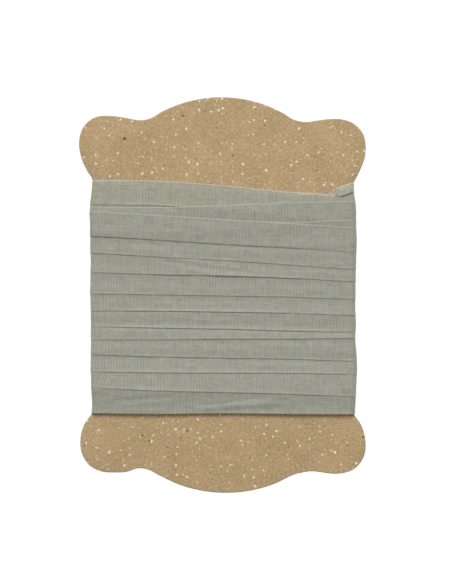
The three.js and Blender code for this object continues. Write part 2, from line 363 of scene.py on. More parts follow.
def round_distances():
    """How far each column is along a turn that lies half-way up the pile, and the length of the turn."""
    outer = COLUMN_PLACES + TYPICAL_RISE * WAYS_OUT
    steps = np.linalg.norm(np.roll(outer, -1, axis=0) - outer, axis=1)
    return np.concatenate(([0.0], np.cumsum(steps)))


DISTANCES = round_distances()
ROUND_LENGTH = DISTANCES[-1]


def front_distance(x):
    return DISTANCES[FRONT_START] + (x - COLUMN_X[FRONT_START])


def front_column(x):
    return FRONT_START + int(np.searchsorted(COLUMN_X[FRONT_COLUMNS], x))


def back_column(x):
    return BACK_START + int(np.searchsorted(-COLUMN_X[BACK_START:BACK_START + BACK_STEPS], -x))


def smooth_line(knots_at, knots, at):
    """A curve through the knots whose slope at each one is that between its neighbours."""
    knots_at = np.asarray(knots_at, float)
    knots = np.asarray(knots, float)
    slopes = np.gradient(knots, knots_at)
    index = np.clip(np.searchsorted(knots_at, at, side="right") - 1, 0, len(knots_at) - 2)
    span = knots_at[index + 1] - knots_at[index]
    t = (at - knots_at[index]) / span
    start = (1 + 2 * t) * (1 - t) ** 2 * knots[index] + t * (1 - t) ** 2 * span * slopes[index]
    end = t * t * (3 - 2 * t) * knots[index + 1] - t * t * (1 - t) * span * slopes[index + 1]
    return start + end


def hidden_turns(turn_pass):
    """The turns of one pass, whose tilt changes mostly towards its end."""
    made = []
    for i in range(turn_pass["turns"]):
        share = i / (turn_pass["turns"] - 1)
        left = turn_pass["start"] + (turn_pass["end"] - turn_pass["start"]) * share
        tilt = turn_pass["tilt"] + (turn_pass["end_tilt"] - turn_pass["tilt"]) * share**3
        low = tuple(left + tilt * (x - PLACES[0]) / (PLACES[-1] - PLACES[0]) for x in PLACES)
        made.append({"name": "hidden", "low": low, "bulk": turn_pass["bulk"]})
    return made


def turn_knots(turn):
    return sorted(list(zip(PLACES, turn["low"])) + EXTRA_PLACES.get(turn["name"], []))


def ribbon_path(turns):
    """The lower selvedge of the whole length: one row for each turn, one column for each place round."""
    knots_at = []
    heights = []
    for number, turn in enumerate(turns):
        for x, height in turn_knots(turn):
            knots_at.append(number * ROUND_LENGTH + front_distance(x))
            heights.append(height)
    knots_at.append(len(turns) * ROUND_LENGTH)
    heights.append(turns[-1]["low"][-1])
    at = (np.arange(len(turns))[:, None] * ROUND_LENGTH + DISTANCES[None, :-1]).ravel()
    path = smooth_line(knots_at, heights, np.maximum(at, knots_at[0]))
    return path.reshape(len(turns), COLUMN_COUNT)


# Creases, listed one by one on the front: the turn that each is in, the line that it follows, how high it
# stands, which is below 0 for a trough between soft shoulders, and how wide it is.
CREASES = [
    {"turn": "ninth", "line": [(-12.0, 6.0), (-7.0, 5.1), (-3.0, 4.3), (0.5, 3.9), (5.0, 3.7)],
     "height": -0.25, "width": 0.4},
    {"turn": "ninth", "line": [(-3.0, 3.2), (3.6, 3.0), (14.0, 2.6)], "height": 0.14, "width": 0.3},
    {"turn": "ninth", "line": [(-12.0, 3.5), (-4.0, 3.4)], "height": 0.12, "width": 0.5},
    {"turn": "bottom", "line": [(-5.5, -18.3), (-2.7, -18.1), (1.3, -17.75), (6.4, -17.4), (9.5, -17.0)],
     "height": 0.62, "width": 0.42},
    {"turn": "bottom", "line": [(-17.5, -17.0), (-12.0, -16.6), (-6.5, -16.1)],
     "height": -0.5, "width": 0.42},
    {"turn": "bottom", "line": [(-16.5, -18.5), (-8.0, -18.5)], "height": 0.3, "width": 0.35},
    {"turn": "bottom", "line": [(7.5, -16.8), (11.2, -16.8)], "height": -0.35, "width": 0.4},
    {"turn": "last", "line": [(-8.8, 10.75), (-5.0, 10.5), (-0.8, 10.2)], "height": -0.16, "width": 0.3},
    {"turn": "sixth", "line": [(-5.6, -3.7), (-1.8, -4.1), (2.0, -3.9)], "height": 0.12, "width": 0.25},
    {"turn": "second", "line": [(-21.5, -14.85), (-8.0, -15.3), (6.0, -15.7), (22.0, -16.2)],
     "height": 0.2, "width": 0.35},
    {"turn": "third", "line": [(-21.5, -12.3), (0.0, -12.45), (22.0, -12.65)], "height": 0.13, "width": 0.3},
    {"turn": "fourth", "line": [(-21.5, -9.6), (0.0, -10.1), (22.0, -10.6)], "height": 0.05, "width": 0.3},
    {"turn": "seventh", "line": [(-19.5, -2.5), (0.0, -2.7), (13.0, -2.9)], "height": 0.12, "width": 0.3},
    {"turn": "sixth", "line": [(-19.5, -5.1), (0.0, -5.4), (21.0, -5.9)], "height": 0.09, "width": 0.3},
    {"turn": "fifth", "line": [(-8.0, -7.0), (6.0, -6.95), (20.5, -6.85)], "height": 0.04, "width": 0.7},
    {"turn": "fourth", "line": [(4.8, -7.9), (12.0, -8.1), (19.9, -8.2)], "height": 0.1, "width": 0.3},
    {"turn": "tenth", "line": [(-19.0, 8.6), (-14.0, 8.2), (-8.0, 7.9)], "height": -0.12, "width": 0.4},
    {"turn": "third", "line": [(2.0, -11.2), (8.0, -11.4), (16.0, -11.3)], "height": 0.09, "width": 0.4},
]
CREASE_FADE = 0.2
TROUGH_SHOULDERS = 2.5

# Turns whose selvedge is drawn down, or stands off where that is below 0: which selvedge, -1 the lower and
# 1 the upper, how far down it goes and over what width.
CURLS = [
    {"turn": "bottom", "side": -1, "down": -0.25, "width": 0.9},
    {"turn": "last", "side": -1, "down": 0.12, "width": 0.4},
    {"turn": "top", "side": 1, "down": 0.24, "width": 0.3},
]


def crease_height(crease, x, y):
    """How far a crease lifts the cloth at each point, fading out over its ends."""
    line = np.array(crease["line"])
    middle = np.interp(x, line[:, 0], line[:, 1])
    along = (x - line[0, 0]) / (line[-1, 0] - line[0, 0])
    fade = np.clip(np.minimum(along, 1 - along) / CREASE_FADE, 0, 1)
    fade = fade * fade * (3 - 2 * fade)
    apart = (y - middle) / crease["width"]
    form = np.exp(-apart * apart)
    if crease["height"] < 0:
        form = form - np.exp(-((apart / TROUGH_SHOULDERS) ** 2))
    return crease["height"] * fade * form


def curl_height(curl, shares):
    """How far a curl lifts the cloth, from nothing at its inner end to all of it at the selvedge."""
    start = 1 - 2 * curl["width"] / RIBBON_WIDTH
    over = np.clip((curl["side"] * shares - start) / (1 - start), 0, 1)
    return -curl["down"] * over * over


UNEVEN = {"waves": 6, "height": 0.04, "length": 9.0, "width": 5.0, "shortest": 0.6, "longest": 1.6}


def uneven(rng, at, across):
    """Smooth unevenness of hand-wound cloth, from a few waves of chance directions."""
    total = np.zeros(np.broadcast(at, across).shape)
    for _ in range(UNEVEN["waves"]):
        turn = rng.uniform(-1, 1)
        phase = rng.uniform(0, 2 * math.pi)
        size = rng.uniform(UNEVEN["shortest"], UNEVEN["longest"])
        waves = at / (UNEVEN["length"] * size) + turn * across / UNEVEN["width"]
        total += np.sin(2 * math.pi * waves + phase)
    return UNEVEN["height"] * total / UNEVEN["waves"]


# Lower selvedges lift off the turn below by up to this much, more and less in long and short waves.
SELVEDGE_LIFT = {"height": 0.05, "long": 19.5, "short": 10.7, "reach": 0.16, "latest_start": 6}

# Small loops of the weft along both selvedges: how far they stand out, and how much of the lift they take.
LOOPS = {"pitch": 0.72, "out": 0.045, "from_share": 0.94, "lifted": 0.5}


def selvedge_lift(rng, at, shares):
    start = rng.uniform(0, SELVEDGE_LIFT["latest_start"])
    slow = np.sin(2 * math.pi * at / SELVEDGE_LIFT["long"] + start)
    quick = np.sin(2 * math.pi * at / SELVEDGE_LIFT["short"])
    looped = 1 + LOOPS["lifted"] * np.sin(2 * math.pi * at / LOOPS["pitch"])
    lift = SELVEDGE_LIFT["height"] * (0.5 + 0.5 * slow * quick) * looped
    return lift * np.exp(-(((shares + 1) / SELVEDGE_LIFT["reach"]) ** 2))


def limit_slope(heights, step):
    """The lowest surface over these heights whose rows are nowhere steeper than STEEPEST_DRAPE."""
    for i in range(1, heights.shape[1]):
        heights[:, i] = np.maximum(heights[:, i], heights[:, i - 1] - STEEPEST_DRAPE * step)
    for i in range(heights.shape[1] - 2, -1, -1):
        heights[:, i] = np.maximum(heights[:, i], heights[:, i + 1] - STEEPEST_DRAPE * step)
    return heights


def blur(values, reach, axis):
    """The values evened out along one axis, with weights that fall off over this many places."""
    weights = np.exp(-((np.arange(-2 * reach, 2 * reach + 1) / reach) ** 2))
    weights /= weights.sum()
    places = np.arange(values.shape[axis])
    total = np.zeros_like(values)
    for offset, weight in zip(range(-2 * reach, 2 * reach + 1), weights):
        total += weight * np.take(values, np.clip(places + offset, 0, places[-1]), axis=axis)
    return total


# The steep turn is parted where its fold shows at the upper right: the fold is a piece of its own. Each turn
# evens out what it lies on over DRAPE_BLUR places across it.
FOLD_FROM = 14.0
STEEP_NUMBER = [turn["name"] for turn in OUTER_TURNS].index("steep")
FOLD_COLUMNS = (front_column(FOLD_FROM), FRONT_END + CORNER_STEPS + 1)
WINDING_SEED = 7
DRAPE_BLUR = 3

# How soon a pile gives way as it grows: a high one is pressed together more than a low one.
PILE_GIVE = 1.0


def pile_under(ground, places, column_step):
    """The pile as a turn lies on it at these places: its steps bridged and evened out across the turn."""
    under = np.array([np.interp(places[c], GROUND_AT, ground[c]) for c in range(COLUMN_COUNT)])
    under = limit_slope(under, GROUND_STEP)
    under = limit_slope(under.T, column_step).T
    return np.maximum(under, blur(under, DRAPE_BLUR, 1))


def crease_and_curl(middle, turn, places):
    """Adds a turn's own creases on the front and its curled selvedges to its heights."""
    front_x = COLUMN_X[FRONT_COLUMNS][:, None]
    for crease in CREASES:
        if crease["turn"] == turn["name"]:
            middle[FRONT_COLUMNS] += crease_height(crease, front_x, places[FRONT_COLUMNS])
    for curl in CURLS:
        if curl["turn"] == turn["name"]:
            middle += curl_height(curl, CLOTH_SHARES)[None, :]


def grow_pile(ground, places, top, parted):
    """Raises the pile to the top of the turn that lies at these places, but for the parted columns."""
    for column in range(COLUMN_COUNT):
        if column in parted:
            continue
        first = np.searchsorted(GROUND_AT, places[column, 0])
        last = np.searchsorted(GROUND_AT, places[column, -1])
        spot = GROUND_AT[first:last]
        ground[column, first:last] = np.interp(spot, places[column], top[column])


def press(heights, highest):
    """Presses the pile down to PACK_HEIGHT, with its upper turns pressed together more than its lower."""
    return PACK_HEIGHT * (1 - np.exp(-PILE_GIVE * heights)) / (1 - math.exp(-PILE_GIVE * highest))


def wind(turns):
    """Lays the turns on each other in their order, each as low as what is under it lets it lie."""
    rng = np.random.default_rng(WINDING_SEED)
    low = ribbon_path(turns)
    steps = np.diff(DISTANCES)
    slope = np.gradient(low.ravel(), 1.0).reshape(low.shape) / steps[None, :]
    width = RIBBON_WIDTH * np.sqrt(1 + slope * slope)
    ground = np.zeros((COLUMN_COUNT, len(GROUND_AT)))
    heights = []
    for number, turn in enumerate(turns):
        reach = width[number] / 2
        places = (low[number] + reach)[:, None] + reach[:, None] * CLOTH_SHARES[None, :]
        bulk = turn["bulk"]
        middle = pile_under(ground, places, float(np.median(steps)))
        middle += bulk * (AIR_BETWEEN_TURNS + RIBBON_THICKNESS / 2)
        at = DISTANCES[:-1][:, None] + number * ROUND_LENGTH
        middle += bulk * np.abs(uneven(rng, at, RIBBON_WIDTH * CLOTH_SHARES[None, :]))
        middle += bulk * selvedge_lift(rng, at, CLOTH_SHARES[None, :])
        crease_and_curl(middle, turn, places)
        middle = np.maximum(middle, AIR_BETWEEN_TURNS + RIBBON_THICKNESS / 2)
        heights.append(middle)
        parted = range(*FOLD_COLUMNS) if turn["name"] == "steep" else ()
        grow_pile(ground, places, middle + bulk * RIBBON_THICKNESS / 2, parted)
    heights = blur(np.array(heights).reshape(-1, len(CLOTH_SHARES)), 1, 0)
    heights = heights.reshape(len(turns), COLUMN_COUNT, len(CLOTH_SHARES))
    pressed = press(heights, ground.max())
    return {"turns": turns, "low": low, "width": width, "slope": slope, "heights": pressed}


# Round the card's edges the pile has this share of its height on the faces, and the whole pack stands off
# the edge by this much at each height along the card.
SIDE_SQUEEZE = 0.35
STAND_OFFS = named_rows(("y", "left", "right"), [
    (-19.0, -0.08, 0.1), (-17.0, -0.06, 0.32), (-15.0, 0.15, 0.37), (-12.0, 0.36, 0.6),
    (-10.4, 0.39, 0.6), (-8.5, 0.34, 0.45), (-6.5, 0.35, 0.33), (-4.6, 0.33, 0.45),
    (-2.5, 0.36, 0.31), (0.0, 0.46, 0.36), (3.0, 0.43, 0.41), (5.0, 0.37, 0.45),
    (8.8, 0.48, 0.56), (11.0, 0.38, 0.48), (13.0, 0.53, 0.5), (14.8, 0.49, 0.36),
    (16.5, 0.28, 0.14), (18.5, 0.12, 0.1),
])
STAND_OFF_AT = [row["y"] for row in STAND_OFFS]


def out_from_card(column, y, height):
    """A point at this height over the card, with the pack's stand-off where it goes round an edge."""
    base_x, base_z, out_x, out_z = COLUMNS[column]
    side = "left" if out_x < 0 else "right"
    stand_off = np.interp(y, STAND_OFF_AT, [row[side] for row in STAND_OFFS])
    share = abs(out_z)
    pressed = height * (SIDE_SQUEEZE + (1 - SIDE_SQUEEZE) * share) + stand_off * (1 - share)
    return base_x + out_x * pressed, y, base_z + out_z * pressed


# Places across the ribbon in shares of its half-width: close together at the selvedges.
SELVEDGE_SHARES = (1.0, 0.993, 0.975, 0.945, 0.89)
INNER_SHARES = np.linspace(-0.8, 0.8, 12)
TOP_SHARES = np.concatenate(([-s for s in SELVEDGE_SHARES], INNER_SHARES, SELVEDGE_SHARES[::-1]))
UNDER_SHARES = np.array([0.975, 0.5, -0.5, -0.975])
ROUNDED_FROM = 0.97
SELVEDGE_CORD = {"share": 0.955, "width": 0.025, "thicker": 0.35}

# Ribs that lean or bow because the cloth is drawn askew: the turn, the place across the front, how far each
# way that reaches, and how far the ribs lean or bow over half the ribbon's width.
ASKEW = [
    {"turn": "bottom", "x": -19.5, "reach": 5.5, "lean": 0.55, "bow": 0.0},
    {"turn": "top", "x": -19.5, "reach": 4.0, "lean": 0.1, "bow": 0.3},
    {"turn": "last", "x": -20.0, "reach": 3.0, "lean": -0.15, "bow": 0.1},
    {"turn": "second", "x": -20.0, "reach": 4.0, "lean": 0.25, "bow": 0.0},
    {"turn": "tenth", "x": -19.0, "reach": 5.0, "lean": -0.3, "bow": 0.1},
    {"turn": "ninth", "x": -4.0, "reach": 4.0, "lean": 0.35, "bow": 0.0},
    {"turn": "wide", "x": 16.0, "reach": 5.0, "lean": -0.25, "bow": 0.1},
]


def half_thickness(shares):
    """Half the cloth's thickness: rounded off at the selvedges, with a thicker cord along them."""
    over = np.clip((np.abs(shares) - ROUNDED_FROM) / (1 - ROUNDED_FROM), 0, 1)
    apart = (np.abs(shares) - SELVEDGE_CORD["share"]) / SELVEDGE_CORD["width"]
    cord = 1 + SELVEDGE_CORD["thicker"] * np.exp(-apart * apart)
    return RIBBON_THICKNESS / 2 * np.sqrt(1 - over * over) * cord


def askew(turn, column, shares):
    """How far the ribs are moved along the ribbon where the cloth is drawn askew."""
    total = np.zeros(len(shares))
    for row in ASKEW:
        if row["turn"] == turn["name"] and FRONT_START <= column < FRONT_END:
            near = math.exp(-(((COLUMN_X[column] - row["x"]) / row["reach"]) ** 2))
            total -= near * (row["lean"] * shares + row["bow"] * shares * shares)
    return total


def cloth_object(name, positions, faces, attributes):
    """A smooth mesh with its places in millimetres and one number for each point in each attribute."""
    mesh = bpy.data.meshes.new(name)
    mesh.from_pydata((np.asarray(positions) * MM).tolist(), [], faces)
    for title, values in attributes.items():
        attribute = mesh.attributes.new(title, "FLOAT", "POINT")
        attribute.data.foreach_set("value", np.asarray(values, np.float32).ravel())
    for polygon in mesh.polygons:
        polygon.use_smooth = True
    mesh.update()
    piece = bpy.data.objects.new(name, mesh)
    bpy.context.scene.collection.objects.link(piece)
    return piece


def outward(piece):
    work = bmesh.new()
    work.from_mesh(piece.data)
    bmesh.ops.recalc_face_normals(work, faces=work.faces)
    work.to_mesh(piece.data)
    work.free()


def ring_faces(rows, ring):
    """The faces of a closed band with this many points in each of its rings, and of its two ends."""
    faces = []
    for row in range(rows - 1):
        start = row * ring
        for i in range(ring):
            j = (i + 1) % ring
            faces.append((start + i, start + j, start + ring + j, start + ring + i))
    last = (rows - 1) * ring
    faces.append(tuple(range(ring))[::-1])
    faces.append(tuple(last + i for i in range(ring)))
    return faces


def turn_piece(name, wound, start, end, every=1, top_shares=TOP_SHARES, under_shares=UNDER_SHARES):
    """The cloth from one place along the ribbon to another, as one closed band with rounded selvedges."""
    order = [divmod(i, COLUMN_COUNT) for i in range(start, end) if i % every == 0]
    shares = np.concatenate((top_shares, under_shares))
    ways = np.concatenate((np.ones(len(top_shares)), -np.ones(len(under_shares))))
    thick = half_thickness(shares) * ways
    loops_at = np.sign(shares) * (np.abs(shares) > LOOPS["from_share"])
    positions = np.empty((len(order), len(shares), 3))
    titles = ("along", "across", "pale", "tone")
    attributes = {title: np.empty((len(order), len(shares))) for title in titles}
    for row, (number, column) in enumerate(order):
        turn = wound["turns"][number]
        width = wound["width"][number, column]
        slope = wound["slope"][number, column]
        at = number * ROUND_LENGTH + DISTANCES[column]
        looped = LOOPS["out"] * math.sin(2 * math.pi * at / LOOPS["pitch"])
        y = wound["low"][number, column] + width * (1 + shares) / 2 + loops_at * looped
        height = np.interp(shares, CLOTH_SHARES, wound["heights"][number, column])
        x, y, z = out_from_card(column, y, height + thick)
        positions[row] = np.stack((x, y, z), axis=1)
        tilt = slope / math.hypot(1, slope)
        attributes["along"][row] = at + width / 2 * shares * tilt + askew(turn, column, shares)
        attributes["across"][row] = shares
        attributes["pale"][row] = turn["pale"]
        attributes["tone"][row] = turn["tone"]
    faces = ring_faces(len(order), len(shares))
    piece = cloth_object(name, positions.reshape(-1, 3), faces, attributes)
    outward(piece)
    return piece


# The fold at the upper right corner, where the steep turn leaves the front: places along it, by how far they
# are past x = FOLD_START on the way round, with the heights along the card of its lip and its selvedge,
# how far the lip stands over the turn that it lies on, and how far the selvedge stands off the card.
FOLD_START = 15.8
FOLD_LINE = named_rows(("past", "lip", "selvedge", "lip_over", "selvedge_out"), [
    (0.3, 15.5, 15.75, -0.12, 0.08),
    (0.9, 15.55, 16.12, -0.12, 0.11),
    (1.5, 15.6, 16.56, -0.13, 0.14),
    (2.1, 15.62, 16.98, -0.13, 0.16),
    (2.5, 15.66, 17.22, -0.05, 0.18),
    (2.8, 15.76, 17.34, 0.16, 0.2),
    (3.1, 15.84, 17.43, 0.26, 0.22),
    (3.6, 15.98, 17.6, 0.29, 0.25),
    (4.1, 16.14, 17.78, 0.3, 0.27),
    (4.7, 16.4, 17.95, 0.28, 0.28),
    (5.4, 16.62, 18.05, 0.14, 0.24),
    (6.1, 16.68, 18.08, 0.06, 0.2),
    (6.8, 16.7, 18.05, 0.02, 0.2),
    (8.2, 16.6, 17.95, -0.1, 0.16),
    (10.5, 16.5, 17.85, -0.2, 0.06),
])
# The fold's section from its turned-under lip to its selvedge: shares of the way across and of the height.
# The first UNDER_LIP of its points lie under the lip.
FOLD_SECTION = [
    (0.24, 0.3), (0.12, 0.36), (0.04, 0.5), (0.0, 0.7), (0.005, 0.86), (0.03, 0.96), (0.08, 1.0), (0.2, 1.0),
    (0.36, 0.92), (0.52, 0.74), (0.68, 0.55), (0.8, 0.4), (0.89, 0.28), (0.95, 0.16), (1.0, 0.0),
]
UNDER_LIP = 4
FOLD_RIB_LEAN = 0.4
LOWEST_LIP = 0.08
# How light the fold's cloth is painted: lighter on the outside as painted light, where it faces the light,
# and darker under its lip as painted shade in the gap there.
FOLD_PAINTED_LIGHT = 1.24
UNDER_LIP_PAINTED_SHADE = 0.7


def strip_faces(rows, count):
    """The faces of an open strip with this many points in each of its rows."""
    faces = []
    for i in range(rows - 1):
        for j in range(count - 1):
            corner = i * count + j
            faces.append((corner, corner + count, corner + count + 1, corner + 1))
    return faces


def thicken(piece):
    """Gives an open strip the ribbon's thickness, inwards from its outer side."""
    bpy.ops.object.select_all(action="DESELECT")
    bpy.context.view_layer.objects.active = piece
    piece.select_set(True)
    solid = piece.modifiers.new("thickness", "SOLIDIFY")
    solid.thickness = RIBBON_THICKNESS * MM
    solid.offset = -1
    bpy.ops.object.modifier_apply(modifier="thickness")


def make_fold(wound):
    first = front_column(FOLD_START)
    past_all = DISTANCES[:-1] - DISTANCES[first]
    knots = [row["past"] for row in FOLD_LINE]
    columns = [c for c in range(first, COLUMN_COUNT) if knots[0] <= past_all[c] <= knots[-1]]
    past = past_all[columns]
    line = {key: smooth_line(knots, [row[key] for row in FOLD_LINE], past) for key in FOLD_LINE[0]}
    share_across, share_out = np.array(FOLD_SECTION).T
    under = [turn["name"] for turn in wound["turns"]].index("top")
    positions = []
    along = []
    across = []
    for i, column in enumerate(columns):
        lip = line["lip"][i]
        width = line["selvedge"][i] - lip
        places = wound["low"][under, column] + wound["width"][under, column] * (1 + CLOTH_SHARES) / 2
        surface = np.interp(lip, places, wound["heights"][under, column]) + RIBBON_THICKNESS / 2
        lip_out = max(LOWEST_LIP, surface + line["lip_over"][i])
        out = line["selvedge_out"][i] + (lip_out - line["selvedge_out"][i]) * share_out
        out[:UNDER_LIP] = lip_out * share_out[:UNDER_LIP]
        x, y, z = out_from_card(column, lip + width * share_across, out)
        positions.append(np.stack((x, y, z), axis=1))
        along.append(past[i] + FOLD_RIB_LEAN * share_across)
        across.append(1 - (1 - share_across) * width / RIBBON_WIDTH * 2)
    even = np.ones((len(columns), len(share_out)))
    # Painted light on the fold's outside, painted shade under its lip.
    tone = FOLD_PAINTED_LIGHT * even
    tone[:, :UNDER_LIP] = UNDER_LIP_PAINTED_SHADE
    attributes = {"along": along, "across": across, "pale": even, "tone": tone}
    faces = strip_faces(len(columns), len(share_out))
    piece = cloth_object("ribbon_corner_fold", np.concatenate(positions), faces, attributes)
    thicken(piece)
    outward(piece)
    return piece


# Silk: its colours, and those of its selvedges, which are the colours of the painted highlight along the
# upper selvedges and of the light yarn along the lower ones, the pitches of the weave in millimetres, and how
# strongly each part of the weave shows in its tone and in its relief.
SILK_COLOUR = (0.319, 0.323, 0.262, 1)
UNTINTED = (1, 1, 1, 1)
WARM_TINT = (1.014, 0.973, 0.943, 1)
LIGHT_SELVEDGE = (0.48, 0.49, 0.42, 1)
PALE_SELVEDGE = (0.60, 0.52, 0.45, 1)
WEAVE = {"rib": 0.48, "beat": 1.06, "thread": 0.335}
WEAVE_TONE = {"rib": 0.075, "beat": 0.02, "thread": 0.12, "grain": 0.65, "streak": 0.38, "slub": 0.1}
WEAVE_RELIEF = {"rib": 0.5, "thread": 0.35, "grain": 1.6}
WEAVE_DEPTH = 0.008

# How fine the noises in the silk are, in features to the millimetre.
SILK_NOISE = {
    "bend": 0.3, "sway": 0.5, "patches": 0.35, "grain": 5.0, "streak": 3.2, "slub": 1.2, "clouds": 0.6,
    "shot": 0.8, "sheen": 0.8,
}
# How far ribs bend and threads sway in millimetres, how clearly ribs show from patch to patch, how streaks
# are drawn out along the ribbon, how much clouds darken and lighten it, how far its colour strays in red,
# green and blue, and how rough it is.
RIB_BEND = 0.7
THREAD_SWAY = 0.6
RIBS_SHOW = (0.35, 1.3)
STREAKS_DRAWN_OUT = (0.2, 1.0, 0.0)
SILK_CLOUDS = (0.95, 1.05)
SHOT_TINT = (0.16, 0.06, 0.22)
SILK_ROUGHNESS = (0.42, 0.56)

# Painted highlight along the upper selvedges, where they face the light, and light yarn along the lower ones:
# the shares of the half-width between which each comes in, how much of the yarn shows at the lower one, how
# light both are between their beads, and how pale a turn is to take the palest colours.
UPPER_HIGHLIGHT = (0.9, 0.95)
LOWER_YARN = (0.93, 0.965)
LOWER_YARN_SHOWS = 0.25
BETWEEN_BEADS = 0.45
PALEST = (0.75, 1.0)


def weave_layers(tree, along, breadth, place):
    """The parts of the weave that change its tone, each of them above and below 0."""
    bend = scaled(tree, noise(tree, place, SILK_NOISE["bend"]), RIB_BEND)
    bent = calc(tree, "ADD", along, bend)
    sway = scaled(tree, noise(tree, place, SILK_NOISE["sway"]), THREAD_SWAY)
    swayed = calc(tree, "ADD", breadth, sway)
    ribs = wave(tree, bent, WEAVE["rib"])
    threads = wave(tree, swayed, WEAVE["thread"])
    patches = ramp(tree, noise(tree, place, SILK_NOISE["patches"], 1.0), *NARROW, *RIBS_SHOW)
    layers = {
        "rib": calc(tree, "MULTIPLY", ribs, patches),
        "beat": wave(tree, bent, WEAVE["beat"]),
        "thread": calc(tree, "MULTIPLY", calc(tree, "MULTIPLY", ribs, threads), patches),
    }
    drawn_out = vector(tree, "MULTIPLY", place, STREAKS_DRAWN_OUT)
    for title, where in (("grain", place), ("streak", drawn_out), ("slub", place)):
        layers[title] = calc(tree, "SUBTRACT", noise(tree, where, SILK_NOISE[title], 1.0), 0.5)
    return layers


def cloth_colour(tree, place, layers, is_palest):
    """The silk's colour with its weave, clouds and strayed hues, and the tones of the single turns and the
    fold, some of which are painted light and painted shade.
    """
    clouds = ramp(tree, noise(tree, place, SILK_NOISE["clouds"], 3.0), *MEDIUM, *SILK_CLOUDS)
    tone = weighted_sum(tree, clouds, layers, WEAVE_TONE)
    # Tones of the turns and the fold, with their painted light and painted shade.
    tone = calc(tree, "MULTIPLY", tone, read_attribute(tree, "tone"))
    shot = straying(tree, place, SILK_NOISE["shot"], SHOT_TINT)
    shot = vector(tree, "ADD", shot, (1.0, 1.0, 1.0))
    colour = mix_colour(tree, 1.0, toned(tree, SILK_COLOUR, tone), shot, "MULTIPLY")
    tint = mix_colour(tree, is_palest, UNTINTED, WARM_TINT)
    return mix_colour(tree, 1.0, colour, tint, "MULTIPLY")


def selvedge_yarn_and_highlight(tree, along, across, pale):
    """How much of the painted highlight on the upper selvedges and of the light yarn on the lower ones shows,
    in beads along them.
    """
    bead = ramp(tree, wave(tree, along, LOOPS["pitch"]), -1, 1, BETWEEN_BEADS, 1.0)
    upper = calc(tree, "MULTIPLY", ramp(tree, across, *UPPER_HIGHLIGHT), pale)
    lower = ramp(tree, scaled(tree, across, -1.0), *LOWER_YARN, 0.0, LOWER_YARN_SHOWS)
    return calc(tree, "MULTIPLY", calc(tree, "ADD", upper, lower), bead)


def silk_material():
    """Plain weave with ribs across the ribbon, in the ribbon's own directions, along it and across it."""
    material = new_material("grey_sage_silk")
    tree = material.node_tree
    along = read_attribute(tree, "along")
    across = read_attribute(tree, "across")
    pale = read_attribute(tree, "pale")
    breadth = scaled(tree, across, RIBBON_WIDTH / 2)
    place = combine(tree, along, breadth)
    layers = weave_layers(tree, along, breadth, place)
    is_palest = ramp(tree, pale, *PALEST)
    colour = cloth_colour(tree, place, layers, is_palest)
    # Painted highlight on the upper selvedges and light yarn on the lower ones.
    highlight_and_yarn_colour = mix_colour(tree, is_palest, LIGHT_SELVEDGE, PALE_SELVEDGE)
    colour = mix_colour(tree, selvedge_yarn_and_highlight(tree, along, across, pale), colour, highlight_and_yarn_colour)

    relief = weighted_sum(tree, 0.0, layers, WEAVE_RELIEF)
    bump_inputs = {"Height": relief, "Distance": WEAVE_DEPTH * MM, "Strength": 1.0}
    bump = add_node(tree, "ShaderNodeBump", bump_inputs)
    rough = ramp(tree, noise(tree, place, SILK_NOISE["sheen"]), *WIDE, *SILK_ROUGHNESS)
    surface = {"Base Color": colour, "Roughness": rough, "Normal": bump.outputs[0]}
    constants = {"Specular IOR Level": 0.3, "Sheen Weight": 0.15, "Sheen Roughness": 0.4}
    finish_material(tree, surface, constants)
    return material


# Kraft board: the two browns of its faces, its cut edge and its flecks.
KRAFT_WARM = (0.468, 0.327, 0.171, 1)
KRAFT_COOL = (0.451, 0.327, 0.179, 1)
KRAFT_CUT = (0.31, 0.268, 0.212, 1)
CREAM = (0.86, 0.78, 0.60, 1)
UMBER = (0.07, 0.048, 0.03, 1)

# How fine the noises in the board are, in features to the metre, and how much they darken and lighten it.
KRAFT_NOISE = {"ragged": 3500.0, "mottle": 2600.0, "clouds": 300.0, "hue": 900.0}
KRAFT_MOTTLE = (0.8, 1.2)
KRAFT_CLOUDS = (0.93, 1.07)
KRAFT_ROUGHNESS = (0.8, 0.9)
KRAFT_DEPTH = 0.03
KRAFT_BUMP = 0.6
# The cut edge: its layers, in features to the metre along the board and through it, their tones, and the
# shares of the board's half thickness between which the cut gives way to the face.
CUT_LAYERS = (400.0, 400.0, 7000.0)
CUT_TONES = (0.8, 1.15)
CUT_END = (0.75, 0.97)

# Flecks: how far their outlines stray in millimetres, the shares of the radius between which they fade out,
# and the smallest strewn one, as a share of the largest.
OUTLINES_STRAY = 0.55
FLECK_FADE = (0.6, 1.15)
SMALLEST_FLECK = 0.45
# Flecks listed one by one, where the photo's largest ones are.
CREAM_FLECKS = named_rows(("x", "y", "radius"), [
    (-1.8, 29.3, 0.17), (-0.6, 29.6, 0.17), (0.1, 29.9, 0.2), (4.3, 27.7, 0.17), (6.8, 27.9, 0.15),
    (-7.7, 23.7, 0.16), (-13.5, 21.1, 0.17), (-9.5, 20.2, 0.15), (7.0, 20.0, 0.22), (11.0, 20.8, 0.19),
    (12.9, 18.6, 0.15), (16.3, 17.6, 0.17), (20.6, 25.6, 0.15), (21.6, 22.9, 0.14), (-18.9, 26.7, 0.13),
    (1.6, 24.2, 0.18), (-15.7, -27.2, 0.2), (18.0, -25.1, 0.22), (-3.6, -22.9, 0.17), (-1.6, -22.7, 0.15),
    (-8.7, -22.4, 0.16), (8.1, -22.7, 0.16), (13.9, -23.0, 0.14), (12.4, -24.1, 0.16), (3.0, -23.3, 0.13),
    (3.5, -28.9, 0.17), (-6.1, -21.6, 0.15), (-5.1, -21.4, 0.14), (17.4, -24.9, 0.15), (-20.7, -23.2, 0.13),
])
